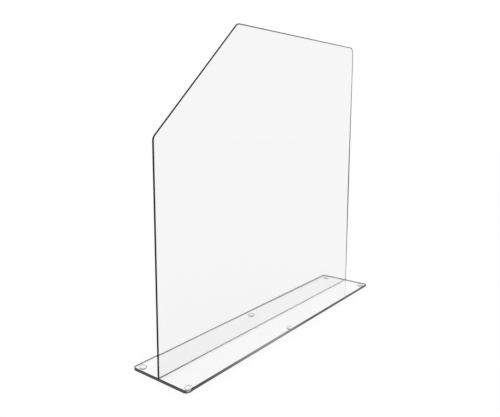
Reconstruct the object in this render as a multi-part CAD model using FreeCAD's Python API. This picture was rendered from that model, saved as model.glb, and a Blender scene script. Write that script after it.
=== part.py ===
import FreeCAD, Part
import os

# A free-standing clear acrylic guard: one upright sheet with a clipped upper corner, cemented on edge
# along the middle of a flat base sheet, which stands on six self-adhesive bumper feet.
# Millimetres, +Z up. X runs along the guard from the clipped end to the square end, -Y is the front,
# and the origin is on the table, under the middle of the base sheet.

# Sheets: cut to one length, and flush at both ends
sheet_length = 610.0
panel_height = 545.5
panel_thickness = 3.2
base_width = 118.5
base_thickness = 4.8

# The upright sheet is set by hand: midway across the base at the clipped end, and from there
# this many degrees towards the front
panel_skew = 0.35

# Outline of the upright sheet
clip_run = 191.0
clip_drop = 181.0
panel_corner_radius = 12.7

# Outline of the base sheet
base_corner_radius = 6.35

# Every free rim is scraped to a shallow bevel on both faces, and then polished
bevel_width = 1.0
bevel_depth = 0.35

# Solvent cement: a film under the upright sheet and a small hollow bead on each side of it
cement_film = 0.1
bead_leg = 0.65
bead_hollow = 0.1
cement_end_gap = 0.6

# Bumper feet: moulded discs with a drafted wall, a rounded shoulder and a flat contact face
foot_diameter = 12.7
foot_height = 3.5
foot_contact_diameter = 9.4
foot_shoulder_height = 1.6
foot_draft = 0.25
foot_shoulder_bulge = 0.16

# Adhesive discs between the feet and the base, a little smaller than the feet
adhesive_rim = 0.4
adhesive_thickness = 0.15

# Where the feet are stuck by hand: in from the ends of the base or along from its middle,
# and in from its long edges
clipped_pair_inset = 13.5
square_pair_inset = 11.5
middle_front_offset = -16.4
middle_back_offset = -11.0
clipped_front_inset = 8.6
clipped_back_inset = 9.3
middle_front_inset = 9.2
middle_back_inset = 13.1
square_front_inset = 11.9
square_back_inset = 13.3

# Levels and edges that the pieces share
base_underside = foot_height + adhesive_thickness
base_top = base_underside + base_thickness
panel_foot = base_top + cement_film
clipped_end = -sheet_length / 2
square_end = sheet_length / 2
half_width = base_width / 2
half_panel = panel_thickness / 2

BACKWARD = FreeCAD.Vector(0, 1, 0)
UP = FreeCAD.Vector(0, 0, 1)
ALONG = FreeCAD.Vector(1, 0, 0)


def line(start, end):
    return Part.LineSegment(start, end).toShape()


def rounded_corner(before, corner, after, radius):
    """The arc that rounds one corner of an outline, tangent to both of its straight sides."""
    towards_before = (before - corner).normalize()
    towards_after = (after - corner).normalize()
    bisector = (towards_before + towards_after).normalize()
    half_angle_cosine = towards_before.dot(bisector)
    half_angle_sine = (1 - half_angle_cosine ** 2) ** 0.5
    setback = radius * half_angle_cosine / half_angle_sine
    centre = corner + bisector * (radius / half_angle_sine)
    start = corner + towards_before * setback
    end = corner + towards_after * setback
    return Part.Arc(start, centre - bisector * radius, end).toShape()


def outline(corners):
    """A closed wire from its corners in order, each given with its radius, or 0 where it stays sharp."""
    arcs = []
    for index, (corner, radius) in enumerate(corners):
        before = corners[index - 1][0]
        after = corners[(index + 1) % len(corners)][0]
        arcs.append(rounded_corner(before, corner, after, radius) if radius else None)
    edges = []
    for index, (corner, _) in enumerate(corners):
        following = (index + 1) % len(corners)
        start = arcs[index].Vertexes[-1].Point if arcs[index] else corner
        end = arcs[following].Vertexes[0].Point if arcs[following] else corners[following][0]
        if arcs[index]:
            edges.append(arcs[index])
        edges.append(line(start, end))
    return Part.Wire(edges)


def inset(corners, insets, facing):
    """The corners after the side that follows each one has moved in by its inset; arcs stay concentric."""
    moved = []
    for index, (corner, radius) in enumerate(corners):
        arriving = (corner - corners[index - 1][0]).normalize()
        leaving = (corners[(index + 1) % len(corners)][0] - corner).normalize()
        turn = arriving.cross(leaving).dot(facing)
        place = corner + leaving * (insets[index - 1] / turn) - arriving * (insets[index] / turn)
        moved.append((place, radius - insets[index] if radius else 0))
    return moved


def bevelled_sheet(corners, insets, facing, thickness):
    """A sheet whose rim is bevelled on both faces, by the inset of each of its sides."""
    rim = outline(corners)
    face = outline(inset(corners, insets, facing))
    sections = []
    for wire, depth in [(face, 0), (rim, bevel_depth), (rim, thickness - bevel_depth), (face, thickness)]:
        sections.append(wire.translated(facing * depth))
    return Part.makeLoft(sections, True, True).removeSplitter()


def askew(shape):
    """A shape turned with the upright sheet, about the middle of its clipped end."""
    return shape.rotated(FreeCAD.Vector(clipped_end, 0, 0), UP, -panel_skew)


def upright_panel():
    """The upright sheet. Its lower edge stays square, because that is the edge that is cemented."""
    top = panel_foot + panel_height
    front = -half_panel
    corners = [
        (FreeCAD.Vector(clipped_end, front, top - clip_drop), panel_corner_radius),
        (FreeCAD.Vector(clipped_end + clip_run, front, top), panel_corner_radius),
        (FreeCAD.Vector(square_end, front, top), panel_corner_radius),
        (FreeCAD.Vector(square_end, front, panel_foot), 0),
        (FreeCAD.Vector(clipped_end, front, panel_foot), 0),
    ]
    insets = [bevel_width, bevel_width, bevel_width, 0, bevel_width]
    return askew(bevelled_sheet(corners, insets, BACKWARD, panel_thickness))


def base_plate():
    """The base sheet, bevelled all round."""
    corners = [
        (FreeCAD.Vector(clipped_end, -half_width, base_underside), base_corner_radius),
        (FreeCAD.Vector(square_end, -half_width, base_underside), base_corner_radius),
        (FreeCAD.Vector(square_end, half_width, base_underside), base_corner_radius),
        (FreeCAD.Vector(clipped_end, half_width, base_underside), base_corner_radius),
    ]
    return bevelled_sheet(corners, [bevel_width] * len(corners), UP, base_thickness)


def bead_curve(start, end, side):
    """The hollow free face of one bead, from start to end, dished towards the corner that it fills."""
    middle = (start + end) * 0.5
    dish = FreeCAD.Vector(0, -side, -1).normalize()
    return Part.Arc(start, middle + dish * bead_hollow, end).toShape()


def cement_seam():
    """The film that holds the upright sheet to the base, with the bead that creeps out on each side."""
    setback = bevel_width + cement_end_gap
    start = clipped_end + setback
    length = sheet_length - 2 * setback

    def point(y, z):
        return FreeCAD.Vector(start, y, z)

    bead_top = base_top + bead_leg
    bead_toe = half_panel + bead_leg
    section = Part.Wire([
        bead_curve(point(-bead_toe, base_top), point(-half_panel, bead_top), -1),
        line(point(-half_panel, bead_top), point(-half_panel, panel_foot)),
        line(point(-half_panel, panel_foot), point(half_panel, panel_foot)),
        line(point(half_panel, panel_foot), point(half_panel, bead_top)),
        bead_curve(point(half_panel, bead_top), point(bead_toe, base_top), 1),
        line(point(bead_toe, base_top), point(-bead_toe, base_top)),
    ])
    return askew(Part.Face(section).extrude(ALONG * length))


def bumper_foot(x, y):
    """One bumper foot, turned about its own upright axis."""
    radius = foot_diameter / 2
    contact_radius = foot_contact_diameter / 2
    axis_top = FreeCAD.Vector(x, y, foot_height)
    axis_bottom = FreeCAD.Vector(x, y, 0)
    rim = FreeCAD.Vector(x + radius, y, foot_height)
    shoulder = FreeCAD.Vector(x + radius - foot_draft, y, foot_shoulder_height)
    contact = FreeCAD.Vector(x + contact_radius, y, 0)
    chord = contact - shoulder
    outward = FreeCAD.Vector(-chord.z, 0, chord.x).normalize()
    crest = (shoulder + contact) * 0.5 + outward * foot_shoulder_bulge
    profile = Part.Wire([
        line(axis_bottom, contact),
        Part.Arc(contact, crest, shoulder).toShape(),
        line(shoulder, rim),
        line(rim, axis_top),
        line(axis_top, axis_bottom),
    ])
    return Part.Face(profile).revolve(axis_bottom, UP, 360)


def adhesive_disc(x, y):
    """The disc of pressure-sensitive adhesive on top of one foot."""
    radius = foot_diameter / 2 - adhesive_rim
    return Part.makeCylinder(radius, adhesive_thickness, FreeCAD.Vector(x, y, foot_height))


def foot_places():
    """The name and centre of each foot."""
    clipped_pair = clipped_end + clipped_pair_inset
    square_pair = square_end - square_pair_inset
    return [
        ("clipped_end_front", clipped_pair, clipped_front_inset - half_width),
        ("clipped_end_back", clipped_pair, half_width - clipped_back_inset),
        ("middle_front", middle_front_offset, middle_front_inset - half_width),
        ("middle_back", middle_back_offset, half_width - middle_back_inset),
        ("square_end_front", square_pair, square_front_inset - half_width),
        ("square_end_back", square_pair, half_width - square_back_inset),
    ]


def build():
    nodes = {
        "upright_panel": upright_panel(),
        "base_plate": base_plate(),
        "cement_seam": cement_seam(),
    }
    for name, x, y in foot_places():
        nodes["foot_" + name] = bumper_foot(x, y)
        nodes["adhesive_" + name] = adhesive_disc(x, y)
    return nodes


os.makedirs("parts", exist_ok=True)
for node, shape in build().items():
    shape.exportStep("parts/" + node + ".step")
    print(node, "valid", shape.isValid(), "solids", len(shape.Solids), "volume", round(shape.Volume, 2))
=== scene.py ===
import math

import bpy
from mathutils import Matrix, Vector


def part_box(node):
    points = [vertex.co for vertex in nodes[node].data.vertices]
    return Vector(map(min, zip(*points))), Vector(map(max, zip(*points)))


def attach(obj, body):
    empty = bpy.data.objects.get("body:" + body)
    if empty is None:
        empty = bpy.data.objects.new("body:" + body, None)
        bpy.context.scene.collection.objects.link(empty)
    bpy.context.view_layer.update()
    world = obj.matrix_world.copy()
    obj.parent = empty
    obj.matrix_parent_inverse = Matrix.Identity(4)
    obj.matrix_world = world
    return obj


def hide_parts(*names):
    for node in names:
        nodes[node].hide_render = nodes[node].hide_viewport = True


# A clear acrylic counter guard on a white studio floor, seen from its clipped end.
# Metres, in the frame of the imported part: +X to the square end, -Y to the front, +Z up.

X_AXIS, Y_AXIS, Z_AXIS = range(3)

# Camera, fitted to the photograph: image pixels, metres and radians, with the sensor in millimetres
IMAGE_WIDTH = 500.0
IMAGE_HEIGHT = 417.0
FOCAL_PIXELS = 512.55
PRINCIPAL_X = 236.28
PRINCIPAL_Y = 189.37
CAMERA_PLACE = (-0.79939, -0.54687, 0.40510)
CAMERA_YAW = 0.89635
CAMERA_PITCH = -0.14531
CAMERA_NEAREST = 0.01
SENSOR_WIDTH = 36.0

# Studio: white all round, with a floor that keeps a faint shadow
FLOOR_SIZE = 12.0
FLOOR_DROP = 0.0002
FLOOR_GREY = 0.95
FLOOR_SHADOW_SHARE = 0.12
LAMP_PLACE = (-1.2, -1.6, 2.2)
LAMP_SIZE = 1.6
LAMP_WATTS = 20.0
LIGHT_BOUNCES = 32

# Clear plastics, with faint smears and ripples
ACRYLIC_IOR = 1.49
# The upright sheet and the base are one acrylic: the upright sheet is made greyer than the base as painted
# shade
PANEL_TINT_AND_SHADE = 0.92
BASE_TINT = 0.994
BUMPER_TINT = 0.97
ADHESIVE_TINT = 0.97
SMEAR_SIZE = 0.05
SMEAR_START = 0.5
SMEAR_FULL = 0.75
SMEAR_ROUGHNESS = 0.02
RIPPLE_SIZE = 0.12
RIPPLE_HEIGHT = 0.00001
NOISE_DETAIL = 3.0

# Cut edges: dark satin grey painted as shade, and closed to the light that travels inside the sheets
EDGE_FACING = 0.985
EDGE_ROUGHNESS = 0.4
EDGE_GLOSS = 0.1
EDGE_SHADE_GREY = 0.01
CUTTER_MARK = 0.0012
CUTTER_STRETCH = 20
CUTTER_DEPTH = 0.00002

# Edge of the base: painted light and shade in greys at the clipped end, mid-way and at the square end, and
# painted shade towards the table
FLAT_FACING = 0.1
BEVEL_LIGHT_AND_SHADE = (EDGE_SHADE_GREY, 0.15, 0.02)
FLAT_LIGHT_AND_SHADE = (0.07, 0.32, 0.11)
PALE_START = -0.31
PALE_MIDDLE = -0.07
PALE_END = 0.05
EDGE_SHADE = 0.15
EDGE_SHADE_START = 0.0004
EDGE_SHADE_END = 0.0024

# Painted light on that edge: a pale spot at the front of the clipped end, where a foot shows through it
GLOW_GREY = 0.32
GLOW_ALONG = -0.0075
GLOW_NEAR = 0.002
GLOW_FAR = 0.0065
GLOW_RISE = 0.0035

# Corners of the sheets, as they are in the solids
BASE_CORNER = 0.00635
PANEL_CORNER = 0.0127
CLIP_RUN = 0.191
CLIP_DROP = 0.181

# Painted shade: dark strips that strengthen the far rims, under the base and behind the upright sheet
RIM_SHADE_GREY = 0.03
BASE_RIM_LEAST = 0.001
BASE_RIM_MOST = 0.0056
BASE_RIM_START = -0.2
PANEL_RIM_TOP = 0.0016
PANEL_RIM_END = 0.0013
PANEL_RIM_SWELL = 0.003
PANEL_RIM_MIDDLE = 0.24
PANEL_RIM_REACH = 0.24
PANEL_RIM_CLIPPED = 0.002

# Bumper feet: the wall is grey from outside as painted shade, and darkest at the square end
WALL_FACING = 0.9
WALL_SHADE_GREY = 0.2
WALL_CLEAR = 0.25
WALL_END_SHADE_GREY = 0.02
WALL_END_CLEAR = 0.1
WALL_END_START = 0.1
WALL_ROUGHNESS = 0.15

# Solvent cement
CEMENT_GREY = 0.26
CEMENT_CLEAR = 0.5
BEAD_STATIONS = 120
BEAD_STEPS = 6

# Adhesive discs
DISC_SEGMENTS = 96

# Bonded faces stand this far apart, so that no two surfaces coincide
BOND_GAP = 0.000005
BONDED_FACING = 0.95

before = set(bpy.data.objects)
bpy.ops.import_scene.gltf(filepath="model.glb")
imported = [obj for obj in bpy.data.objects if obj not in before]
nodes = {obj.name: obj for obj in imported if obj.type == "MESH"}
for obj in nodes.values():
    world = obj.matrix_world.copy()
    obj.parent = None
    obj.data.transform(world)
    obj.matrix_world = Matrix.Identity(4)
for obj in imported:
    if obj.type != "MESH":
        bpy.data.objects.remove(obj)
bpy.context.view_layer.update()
scene = bpy.context.scene


# Node helpers

def new_material(name):
    """A material with an empty node tree and its output node."""
    material = bpy.data.materials.new(name)
    material.use_nodes = True
    tree = material.node_tree
    tree.nodes.clear()
    output = tree.nodes.new("ShaderNodeOutputMaterial")
    return material, tree, output


def principled(name):
    """A material with a Principled shader in it."""
    material, tree, output = new_material(name)
    shader = tree.nodes.new("ShaderNodeBsdfPrincipled")
    tree.links.new(shader.outputs[0], output.inputs["Surface"])
    return material, tree, shader


def grey_colour(level):
    return (level, level, level, 1.0)


def math_node(tree, operation, first, second=0.0):
    """A Math node whose inputs are sockets or numbers."""
    node = tree.nodes.new("ShaderNodeMath")
    node.operation = operation
    for socket, value in zip(node.inputs, (first, second)):
        if isinstance(value, (int, float)):
            socket.default_value = value
        else:
            tree.links.new(value, socket)
    return node.outputs[0]


def minus(tree, first, second):
    return math_node(tree, "SUBTRACT", first, second)


def above(tree, value, limit):
    """1 where a value is more than a limit."""
    return math_node(tree, "GREATER_THAN", value, limit)


def below(tree, value, limit):
    """1 where a value is less than a limit."""
    return math_node(tree, "LESS_THAN", value, limit)


def all_of(tree, first, *others):
    """The product of some values: 1 where all of them are 1."""
    for other in others:
        first = math_node(tree, "MULTIPLY", first, other)
    return first


def any_of(tree, first, *others):
    """The largest of some values: 1 where any of them is 1."""
    for other in others:
        first = math_node(tree, "MAXIMUM", first, other)
    return first


def between(tree, value, low, high):
    """1 where a value lies between two limits."""
    return all_of(tree, above(tree, value, low), below(tree, value, high))


def ranged(tree, value, low, high, start, end):
    """A value spread from start to end while the value that drives it goes from low to high."""
    node = tree.nodes.new("ShaderNodeMapRange")
    node.interpolation_type = "SMOOTHSTEP"
    tree.links.new(value, node.inputs["Value"])
    for name, number in (("From Min", low), ("From Max", high), ("To Min", start), ("To Max", end)):
        node.inputs[name].default_value = number
    return node.outputs["Result"]


def hypotenuse(tree, first, second):
    squares = [math_node(tree, "MULTIPLY", side, side) for side in (first, second)]
    return math_node(tree, "SQRT", math_node(tree, "ADD", *squares))


def parts_of(tree, vector):
    """The X, Y and Z of a vector."""
    split = tree.nodes.new("ShaderNodeSeparateXYZ")
    tree.links.new(vector, split.inputs[0])
    return split.outputs


def place_vector(tree):
    """A point of the part, in metres."""
    return tree.nodes.new("ShaderNodeTexCoord").outputs["Object"]


def position(tree):
    """The X, Y and Z of a point of the part."""
    return parts_of(tree, place_vector(tree))


def reach(tree, way):
    """How far a point of the part lies along a direction."""
    product = tree.nodes.new("ShaderNodeVectorMath")
    product.operation = "DOT_PRODUCT"
    product.inputs[1].default_value = way
    tree.links.new(place_vector(tree), product.inputs[0])
    return product.outputs["Value"]


def direction(tree):
    """The X, Y and Z of the way that a surface faces."""
    return parts_of(tree, tree.nodes.new("ShaderNodeNewGeometry").outputs["True Normal"])


def flat_along(tree, component):
    """1 where one component of a surface's direction is nearly all of it, either way round."""
    return above(tree, math_node(tree, "ABSOLUTE", component), BONDED_FACING)


def noise(tree, sizes):
    """Noise whose features have the given size along each axis."""
    mapping = tree.nodes.new("ShaderNodeMapping")
    mapping.inputs["Scale"].default_value = [1.0 / size for size in sizes]
    tree.links.new(place_vector(tree), mapping.inputs["Vector"])
    texture = tree.nodes.new("ShaderNodeTexNoise")
    texture.inputs["Scale"].default_value = 1.0
    texture.inputs["Detail"].default_value = NOISE_DETAIL
    tree.links.new(mapping.outputs[0], texture.inputs["Vector"])
    return texture.outputs["Fac"]


def bumped(tree, shader, height, depth):
    """Gives a shader small bumps of the given depth."""
    bump = tree.nodes.new("ShaderNodeBump")
    bump.inputs["Distance"].default_value = depth
    tree.links.new(height, bump.inputs["Height"])
    tree.links.new(bump.outputs[0], shader.inputs["Normal"])


# Where pieces are bonded

def seam_ways():
    """The directions along and across the seam, from the broadest face of the upright sheet."""
    broadest = max(nodes["upright_panel"].data.polygons, key=lambda polygon: polygon.area)
    across = broadest.normal * math.copysign(1.0, broadest.normal.y)
    return Vector((across.y, -across.x, 0.0)), across


def extent(name, way):
    """The least and the most that a node reaches along a direction."""
    reaches = [vertex.co.dot(way) for vertex in nodes[name].data.vertices]
    return min(reaches), max(reaches)


def within_adhesive(tree, x, y):
    """1 over the adhesive discs, seen from above."""
    discs = []
    for name in sorted(nodes):
        if name.startswith("adhesive"):
            low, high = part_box(name)
            middle = (low + high) / 2
            away = hypotenuse(tree, minus(tree, x, middle.x), minus(tree, y, middle.y))
            discs.append(below(tree, away, (high.x - low.x) / 2))
    return any_of(tree, *discs)


def panel_bond(tree):
    """The foot of the upright sheet, as high as the cement bead reaches."""
    x, _, z = position(tree)
    low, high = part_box("cement_seam")
    return all_of(tree, between(tree, z, 0.0, high.z), between(tree, x, low.x, high.x))


def base_bond(tree):
    """The cemented strip on top of the base, and the places of the feet under it."""
    x, y, z = position(tree)
    base_low, base_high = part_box("base_plate")
    middle = (base_low.z + base_high.z) / 2
    strip = between(tree, z, middle, base_high.z + BOND_GAP)
    for way in seam_ways():
        start, end = extent("cement_seam", way)
        strip = all_of(tree, strip, between(tree, reach(tree, way), start, end))
    feet = all_of(tree, within_adhesive(tree, x, y), between(tree, z, 0.0, middle))
    return any_of(tree, strip, feet)


def cement_bond(tree):
    """Every face of the cement except its hollow beads and its two ends."""
    _, y, z = direction(tree)
    return any_of(tree, flat_along(tree, y), flat_along(tree, z))


def adhesive_bond(tree):
    """The two flat faces of an adhesive disc."""
    return flat_along(tree, direction(tree)[Z_AXIS])


def foot_bond(tree):
    """The top of a foot, under its adhesive."""
    x, y, z = position(tree)
    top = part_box("foot_middle_front")[1].z
    return all_of(tree, between(tree, z, top - BOND_GAP, top + BOND_GAP), within_adhesive(tree, x, y))


# Painted shade on the rims

def from_rim(tree, first, second, corner):
    """How far a point is from a rim with a rounded corner, from its distances to the rim's two sides."""
    short = [math_node(tree, "MAXIMUM", minus(tree, corner, side), 0.0) for side in (first, second)]
    return minus(tree, corner, hypotenuse(tree, *short))


def base_rim_shade(tree):
    """1 in a strip of painted shade on the underside of the base, along its back and its square end."""
    x, y, z = position(tree)
    low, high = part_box("base_plate")
    from_back = minus(tree, high.y, y)
    from_end = minus(tree, high.x, x)
    width = ranged(tree, x, BASE_RIM_START, high.x, BASE_RIM_LEAST, BASE_RIM_MOST)
    strip = below(tree, from_rim(tree, from_back, from_end, BASE_CORNER), width)
    return all_of(tree, strip, below(tree, z, (low.z + high.z) / 2))


def clipped_corner_shade(tree):
    """1 in a strip of painted shade round the upper corner of the clipped edge."""
    along = seam_ways()[0]
    slant = math.atan2(CLIP_DROP, CLIP_RUN)
    tangent = extent("upright_panel", along)[0] + CLIP_RUN + PANEL_CORNER * math.tan(slant / 2)
    centre = along * tangent + Vector((0.0, 0.0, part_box("upright_panel")[1].z - PANEL_CORNER))
    slope = along * math.cos(slant) + Vector((0.0, 0.0, math.sin(slant)))
    beside = minus(tree, reach(tree, along), tangent)
    over = minus(tree, position(tree)[Z_AXIS], centre.z)
    before_top = below(tree, beside, 0.0)
    after_slope = above(tree, reach(tree, slope), centre.dot(slope))
    outer = above(tree, hypotenuse(tree, beside, over), PANEL_CORNER - PANEL_RIM_CLIPPED)
    return all_of(tree, before_top, after_slope, outer)


def panel_rim_shade(tree):
    """1 in a strip of painted shade on the back of the upright sheet, along its top, square end and clipped
    corner.
    """
    along, across = seam_ways()
    z = position(tree)[Z_AXIS]
    from_end = minus(tree, extent("upright_panel", along)[1], reach(tree, along))
    from_top = minus(tree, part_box("upright_panel")[1].z, z)
    from_middle = math_node(tree, "ABSOLUTE", minus(tree, z, PANEL_RIM_MIDDLE))
    plain = ranged(tree, from_top, 0.0, PANEL_CORNER, PANEL_RIM_TOP, PANEL_RIM_END)
    swell = ranged(tree, from_middle, 0.0, PANEL_RIM_REACH, PANEL_RIM_SWELL, 0.0)
    width = math_node(tree, "ADD", plain, swell)
    strip = below(tree, from_rim(tree, from_top, from_end, PANEL_CORNER), width)
    on_back = above(tree, reach(tree, across), sum(extent("upright_panel", across)) / 2)
    return all_of(tree, any_of(tree, strip, clipped_corner_shade(tree)), on_back)


# Materials of the guard

def clear_plastic(name, clear_grey, bond, rim=None):
    """Clear plastic with faint smears. Where bond is 1 it is stuck to its neighbour and doesn't bend light,
    and where the rim mask is 1 it is darkened by painted shade."""
    material, tree, shader = principled(name)
    shader.inputs["Base Color"].default_value = grey_colour(clear_grey)
    if rim:
        tree.links.new(ranged(tree, rim(tree), 0.0, 1.0, clear_grey, RIM_SHADE_GREY), shader.inputs["Base Color"])
    shader.inputs["IOR"].default_value = ACRYLIC_IOR
    tree.links.new(ranged(tree, bond(tree), 0.0, 1.0, ACRYLIC_IOR, 1.0), shader.inputs["IOR"])
    shader.inputs["Transmission Weight"].default_value = 1.0
    smears = noise(tree, (SMEAR_SIZE, SMEAR_SIZE, SMEAR_SIZE))
    roughness = ranged(tree, smears, SMEAR_START, SMEAR_FULL, 0.0, SMEAR_ROUGHNESS)
    tree.links.new(roughness, shader.inputs["Roughness"])
    bumped(tree, shader, noise(tree, (RIPPLE_SIZE, RIPPLE_SIZE, RIPPLE_SIZE)), RIPPLE_HEIGHT)
    return material


def cut_edge(name, sheet_axis):
    """The cut edge of a sheet: satin and painted dark as shade, with cutter marks that run across its
    thickness.
    """
    material, tree, shader = principled(name)
    shader.inputs["Base Color"].default_value = grey_colour(EDGE_SHADE_GREY)
    shader.inputs["Roughness"].default_value = EDGE_ROUGHNESS
    shader.inputs["Specular IOR Level"].default_value = EDGE_GLOSS
    mark = [CUTTER_MARK, CUTTER_MARK, CUTTER_MARK]
    mark[sheet_axis] = CUTTER_STRETCH * CUTTER_MARK
    bumped(tree, shader, noise(tree, mark), CUTTER_DEPTH)
    return material


def base_edge(name, greys):
    """A cut edge of the base: painted shade towards the table, and painted light mid-way along and where a
    foot shows.
    """
    material = cut_edge(name, Z_AXIS)
    tree = material.node_tree
    shader = tree.nodes["Principled BSDF"]
    clipped_grey, middle_grey, square_grey = greys
    x, y, z = position(tree)
    # Painted light mid-way along the edge, painted shade at its ends and painted shade towards the table
    paler = ranged(tree, x, PALE_START, PALE_MIDDLE, clipped_grey, middle_grey)
    darker = ranged(tree, x, PALE_MIDDLE, PALE_END, middle_grey, square_grey)
    grey = math_node(tree, "MINIMUM", paler, darker)
    base_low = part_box("base_plate")[0]
    rise = minus(tree, z, base_low.z)
    shade = ranged(tree, rise, EDGE_SHADE_START, EDGE_SHADE_END, EDGE_SHADE, 1.0)
    foot_low, foot_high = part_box("foot_clipped_end_front")
    from_front = minus(tree, y, base_low.y)
    from_foot = minus(tree, x, (foot_low.x + foot_high.x) / 2 + GLOW_ALONG)
    # Painted light where the foot shows through the edge
    glow = ranged(tree, hypotenuse(tree, from_front, from_foot), GLOW_NEAR, GLOW_FAR, GLOW_GREY, 0.0)
    glow_share = ranged(tree, rise, 0.0, GLOW_RISE, 0.0, 1.0)
    shown = any_of(tree, all_of(tree, grey, shade), all_of(tree, glow, glow_share))
    tree.links.new(shown, shader.inputs["Base Color"])
    return material


def bumper_wall():
    """The moulded wall of a foot: greyish from outside as painted shade, and clear to the light that comes
    from inside.
    """
    material, tree, shader = principled("bumper_wall")
    shader.inputs["IOR"].default_value = ACRYLIC_IOR
    shader.inputs["Roughness"].default_value = WALL_ROUGHNESS
    x = position(tree)[X_AXIS]
    square_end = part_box("base_plate")[1].x
    # Painted shade: grey from outside, darkest towards the square end
    grey = ranged(tree, x, WALL_END_START, square_end, WALL_SHADE_GREY, WALL_END_SHADE_GREY)
    clear = ranged(tree, x, WALL_END_START, square_end, WALL_CLEAR, WALL_END_CLEAR)
    inside = tree.nodes.new("ShaderNodeNewGeometry").outputs["Backfacing"]
    tree.links.new(any_of(tree, grey, inside), shader.inputs["Base Color"])
    tree.links.new(any_of(tree, clear, inside), shader.inputs["Transmission Weight"])
    return material


def cement_material():
    """Set solvent cement: partly clear and partly grey."""
    material = clear_plastic("cement", CEMENT_GREY, cement_bond)
    shader = material.node_tree.nodes["Principled BSDF"]
    shader.inputs["Transmission Weight"].default_value = CEMENT_CLEAR
    return material


def dress(node, axis, *layers):
    """Gives each face the first material whose limit it reaches, by how far it looks along an axis."""
    node.data.materials.clear()
    for material, _ in layers:
        node.data.materials.append(material)
    for polygon in node.data.polygons:
        facing = abs(polygon.normal[axis])
        polygon.material_index = [facing >= limit for _, limit in layers].index(True)


# Pieces that Blender shapes

def mesh_piece(name, vertices, faces, material, replaced):
    """A piece of the guard, from its vertices and faces, in place of a CAD node."""
    mesh = bpy.data.meshes.new(name)
    mesh.from_pydata(vertices, [], faces)
    mesh.materials.append(material)
    piece = bpy.data.objects.new(name, mesh)
    scene.collection.objects.link(piece)
    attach(piece, "root")
    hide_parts(replaced)


def swept(sections):
    """Vertices and faces of a closed skin over sections that follow one another."""
    vertices = [point for section in sections for point in section]
    count = len(sections[0])
    faces = []
    for station in range(len(sections) - 1):
        start = station * count
        for side in range(count):
            after = (side + 1) % count
            faces.append((start + side, start + after, start + count + after, start + count + side))
    last = (len(sections) - 1) * count
    faces.append(tuple(reversed(range(count))))
    faces.append(tuple(range(last, last + count)))
    return vertices, faces


def cement_seam(material):
    """The film under the upright sheet, with a hollow bead on each side."""
    along, across = seam_ways()
    start, end = extent("cement_seam", along)
    front_toe, back_toe = extent("cement_seam", across)
    panel_front, panel_back = extent("upright_panel", across)
    low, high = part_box("cement_seam")
    middle = (front_toe + back_toe) / 2
    toe = (back_toe - front_toe) / 2
    inner = (panel_back - panel_front) / 2 + BOND_GAP
    bead_foot = low.z + BOND_GAP
    film_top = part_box("upright_panel")[0].z - BOND_GAP
    bead = []
    for step in range(BEAD_STEPS + 1):
        turn = math.pi / 2 * step / BEAD_STEPS
        side = toe - (toe - inner) * math.sin(turn)
        z = high.z - (high.z - bead_foot) * math.cos(turn)
        bead.append((side, z))
    front = [(-side, z) for side, z in bead]
    outline = front + [(-inner, film_top), (inner, film_top)] + bead[::-1]
    sections = []
    for station in range(BEAD_STATIONS + 1):
        place = along * (start + (end - start) * station / BEAD_STATIONS)
        section = []
        for side, z in outline:
            section.append(place + across * (middle + side) + Vector((0.0, 0.0, z)))
        sections.append(section)
    vertices, faces = swept(sections)
    mesh_piece("cement_bead", vertices, faces, material, "cement_seam")


def adhesive_disc(node, material):
    """One disc of adhesive between a foot and the base."""
    low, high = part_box(node)
    middle = (low + high) / 2
    radius = (high.x - low.x) / 2
    circle = []
    for step in range(DISC_SEGMENTS):
        turn = 2 * math.pi * step / DISC_SEGMENTS
        circle.append((middle.x + radius * math.cos(turn), middle.y + radius * math.sin(turn)))
    sections = []
    for z in (low.z + BOND_GAP, high.z - BOND_GAP):
        sections.append([(x, y, z) for x, y in circle])
    vertices, faces = swept(sections)
    mesh_piece(node + "_disc", vertices, faces, material, node)


# Studio

def studio_world():
    """White light from all round."""
    world = bpy.data.worlds.new("studio")
    world.use_nodes = True
    tree = world.node_tree
    tree.nodes.clear()
    output = tree.nodes.new("ShaderNodeOutputWorld")
    background = tree.nodes.new("ShaderNodeBackground")
    background.inputs["Color"].default_value = grey_colour(1.0)
    tree.links.new(background.outputs[0], output.inputs["Surface"])
    scene.world = world


def floor_material():
    """White where it is seen, mixed with a plain floor that takes the shadow."""
    material, tree, output = new_material("white_floor")
    path = tree.nodes.new("ShaderNodeLightPath")
    diffuse = tree.nodes.new("ShaderNodeBsdfDiffuse")
    diffuse.inputs["Color"].default_value = grey_colour(FLOOR_GREY)
    white = tree.nodes.new("ShaderNodeEmission")
    rays = [path.outputs["Is %s Ray" % kind] for kind in ("Camera", "Transmission", "Glossy")]
    seen = any_of(tree, *rays)
    mix = tree.nodes.new("ShaderNodeMixShader")
    tree.links.new(all_of(tree, seen, 1.0 - FLOOR_SHADOW_SHARE), mix.inputs[0])
    tree.links.new(diffuse.outputs[0], mix.inputs[1])
    tree.links.new(white.outputs[0], mix.inputs[2])
    tree.links.new(mix.outputs[0], output.inputs["Surface"])
    return material


def studio_floor():
    """A broad floor, a hair below the feet."""
    half = FLOOR_SIZE / 2
    corners = [(-half, -half), (half, -half), (half, half), (-half, half)]
    mesh = bpy.data.meshes.new("floor")
    mesh.from_pydata([(x, y, -FLOOR_DROP) for x, y in corners], [], [(0, 1, 2, 3)])
    mesh.materials.append(floor_material())
    floor = bpy.data.objects.new("floor", mesh)
    scene.collection.objects.link(floor)


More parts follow.
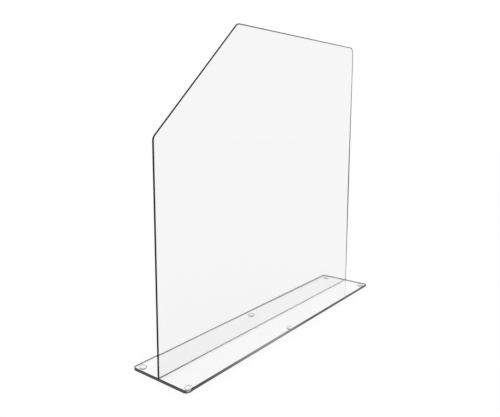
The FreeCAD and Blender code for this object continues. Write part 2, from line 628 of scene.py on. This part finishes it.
def studio_lamp():
    """A large soft lamp at the front left, aimed at the foot of the guard."""
    data = bpy.data.lights.new("key", "AREA")
    data.shape = "DISK"
    data.size = LAMP_SIZE
    data.energy = LAMP_WATTS
    lamp = bpy.data.objects.new("key", data)
    lamp.location = LAMP_PLACE
    lamp.rotation_euler = (-lamp.location).to_track_quat("-Z", "Y").to_euler()
    scene.collection.objects.link(lamp)


def photograph_camera():
    """The camera at the photograph's place, with its lens and framing."""
    data = bpy.data.cameras.new("camera")
    data.sensor_fit = "HORIZONTAL"
    data.sensor_width = SENSOR_WIDTH
    data.lens = FOCAL_PIXELS * SENSOR_WIDTH / IMAGE_WIDTH
    data.shift_x = (IMAGE_WIDTH / 2 - PRINCIPAL_X) / IMAGE_WIDTH
    data.shift_y = (PRINCIPAL_Y - IMAGE_HEIGHT / 2) / IMAGE_WIDTH
    data.clip_start = CAMERA_NEAREST
    camera = bpy.data.objects.new("camera", data)
    camera.location = CAMERA_PLACE
    camera.rotation_euler = (math.pi / 2 + CAMERA_PITCH, 0.0, -CAMERA_YAW)
    scene.collection.objects.link(camera)
    scene.camera = camera


# Set-up

scene.view_settings.view_transform = "Standard"
scene.cycles.max_bounces = LIGHT_BOUNCES
scene.cycles.glossy_bounces = LIGHT_BOUNCES
scene.cycles.transmission_bounces = LIGHT_BOUNCES
studio_world()
studio_floor()
studio_lamp()
photograph_camera()

panel_face = clear_plastic("panel_acrylic", PANEL_TINT_AND_SHADE, panel_bond, panel_rim_shade)
panel_edge = cut_edge("panel_edge", Y_AXIS)
base_face = clear_plastic("base_acrylic", BASE_TINT, base_bond, base_rim_shade)
base_bevel = base_edge("base_bevel", BEVEL_LIGHT_AND_SHADE)
base_flat = base_edge("base_flat", FLAT_LIGHT_AND_SHADE)
bumper = clear_plastic("bumper", BUMPER_TINT, foot_bond)
wall = bumper_wall()
adhesive = clear_plastic("adhesive", ADHESIVE_TINT, adhesive_bond)

dress(nodes["upright_panel"], Y_AXIS, (panel_face, EDGE_FACING), (panel_edge, 0.0))
dress(nodes["base_plate"], Z_AXIS, (base_face, EDGE_FACING), (base_bevel, FLAT_FACING), (base_flat, 0.0))
cement_seam(cement_material())
for name, node in nodes.items():
    if name.startswith("adhesive"):
        adhesive_disc(name, adhesive)
    if name.startswith("foot"):
        dress(node, Z_AXIS, (bumper, WALL_FACING), (wall, 0.0))
